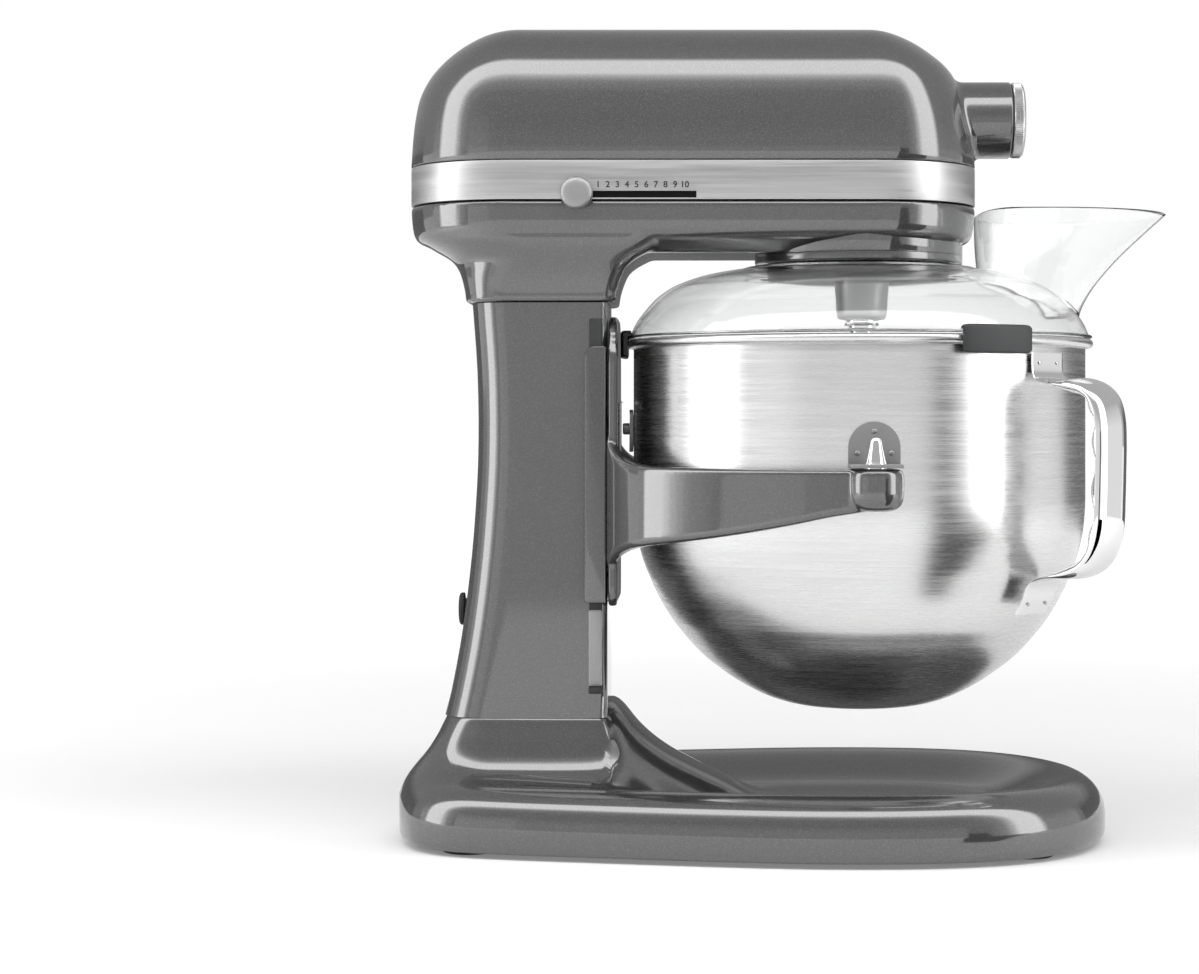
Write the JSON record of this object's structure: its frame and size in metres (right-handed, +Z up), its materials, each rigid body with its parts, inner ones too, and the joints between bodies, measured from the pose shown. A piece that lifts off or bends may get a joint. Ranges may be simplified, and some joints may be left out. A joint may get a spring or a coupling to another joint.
{
  "type": "bowl-lift stand mixer",
  "caption": "Bowl-lift stand mixer: rounded head on a column and dished base, steel bowl with handle on a sliding yoke, clear pouring shield, planetary drive.",
  "frame": {"origin": "centre of the bounding box in plan, at the height of the feet's undersides", "axes": "+Z up, +X from the column to the spout, +Y to the mixer's lift-lever side"},
  "size_m": [0.3994, 0.287, 0.419],
  "materials": {
    "paint": "dark grey metallic gloss enamel",
    "brushed_band": "brushed satin",
    "satin_metal": "fine satin",
    "brushed_steel": "horizontal brushing",
    "chrome": "polished",
    "steel": "ground steel",
    "iron": "machined casting",
    "brass": "machined",
    "copper": "copper segments",
    "dark_plastic": "moulded, fine texture",
    "board": "circuit board",
    "clear_plastic": "clear moulded plastic",
    "rubber": "moulded rubber"
  },
  "bodies": {
    "stand": {"pedestal_casting": "paint", "base_bottom_cover": "dark_plastic", "foot_front_left": "rubber", "foot_front_right": "rubber", "foot_rear_left": "rubber", "foot_rear_right": "rubber", "cord_gland": "rubber", "slide_rail_left": "satin_metal", "slide_rail_right": "satin_metal", "head_lower_housing": "paint", "head_upper_cover": "paint", "trim_band": "brushed_band", "planetary_nose": "paint", "attachment_hub": "paint", "ring_gear": "iron", "gearcase_plate": "iron", "planetary_bearing_lower": "steel", "planetary_bearing_upper": "steel", "motor_stator": "iron", "motor_rear_bracket": "iron", "motor_front_bracket": "iron", "speed_control_board": "board"},
    "armature": {"armature_shaft": "steel", "armature_core": "iron", "armature_worm": "steel", "commutator": "copper", "cooling_fan": "dark_plastic"},
    "intermediate_gear": {"worm_wheel": "brass", "worm_wheel_shaft": "steel", "drive_pinion": "iron"},
    "planetary": {"planetary_disc": "satin_metal", "planetary_shaft": "steel", "centre_gear": "iron", "centre_bevel_gear": "iron"},
    "beater_drive": {"beater_shaft": "chrome", "beater_shaft_pin": "chrome", "planet_pinion": "iron"},
    "hub_drive": {"hub_bevel_gear": "iron", "hub_drive_socket": "steel"},
    "hub_cover": {"hub_cap": "satin_metal"},
    "attachment_screw": {"attachment_knob": "dark_plastic"},
    "speed_control": {"speed_knob": "satin_metal", "speed_slide_plate": "dark_plastic"},
    "bowl_carriage": {"bowl_lift_yoke": "paint", "bowl_pin_left": "chrome", "bowl_pin_right": "chrome", "bowl_spring_latch": "steel", "mixing_bowl": "brushed_steel", "bowl_bracket_left": "brushed_steel", "bowl_bracket_right": "brushed_steel", "bowl_rear_bracket": "brushed_steel", "bowl_handle": "chrome", "pouring_shield": "clear_plastic", "pouring_chute": "clear_plastic", "shield_clip_rear": "dark_plastic", "shield_clip_left": "dark_plastic", "shield_clip_right": "dark_plastic"},
    "lift_handle": {"lift_shaft": "steel", "lift_crank": "iron", "lift_lever": "paint"}
  },
  "joints": [
    {"name": "motor_spin", "type": "hinge", "parent": "stand", "child": "armature", "pos_m": [0, 0, 0.368], "axis": [1, 0, 0], "continuous": true},
    {"name": "intermediate_spin", "type": "hinge", "parent": "stand", "child": "intermediate_gear", "pos_m": [0.00836, 0.024, 0.338], "axis": [0, 0, 1], "continuous": true},
    {"name": "planetary_spin", "type": "hinge", "parent": "stand", "child": "planetary", "pos_m": [0.0391, 0, 0.294], "axis": [0, 0, 1], "continuous": true},
    {"name": "beater_spin", "type": "hinge", "parent": "planetary", "child": "beater_drive", "pos_m": [0.0391, -0.026, 0.28], "axis": [0, 0, 1], "continuous": true},
    {"name": "hub_drive_spin", "type": "hinge", "parent": "stand", "child": "hub_drive", "pos_m": [0.08, 0, 0.3732], "axis": [1, 0, 0], "continuous": true},
    {"name": "hub_cap_pull", "type": "slide", "parent": "stand", "child": "hub_cover", "axis": [1, 0, 0], "range_m": [0, 0.03]},
    {"name": "attachment_knob_turn", "type": "hinge", "parent": "stand", "child": "attachment_screw", "pos_m": [0.11, 0.02, 0.3732], "axis": [0, 1, 0], "range_deg": [0, 1080]},
    {"name": "speed_slide", "type": "slide", "parent": "stand", "child": "speed_control", "axis": [1, 0, 0], "range_m": [0, 0.054]},
    {"name": "bowl_lift", "type": "slide", "parent": "stand", "child": "bowl_carriage", "axis": [0, 0, 1], "range_m": [-0.04, 0]},
    {"name": "lift_lever_turn", "type": "hinge", "parent": "stand", "child": "lift_handle", "pos_m": [-0.112, 0.03, 0.186], "axis": [0, -1, 0], "range_deg": [0, 90]}
  ],
  "couplings": [
    {"joint": "intermediate_spin", "follows": "motor_spin", "ratio": -0.041667},
    {"joint": "planetary_spin", "follows": "motor_spin", "ratio": 0.0125},
    {"joint": "beater_spin", "follows": "motor_spin", "ratio": -0.030556},
    {"joint": "hub_drive_spin", "follows": "motor_spin", "ratio": 0.015},
    {"joint": "lift_lever_turn", "follows": "bowl_lift", "rad_per_m": -39.2}
  ]
}
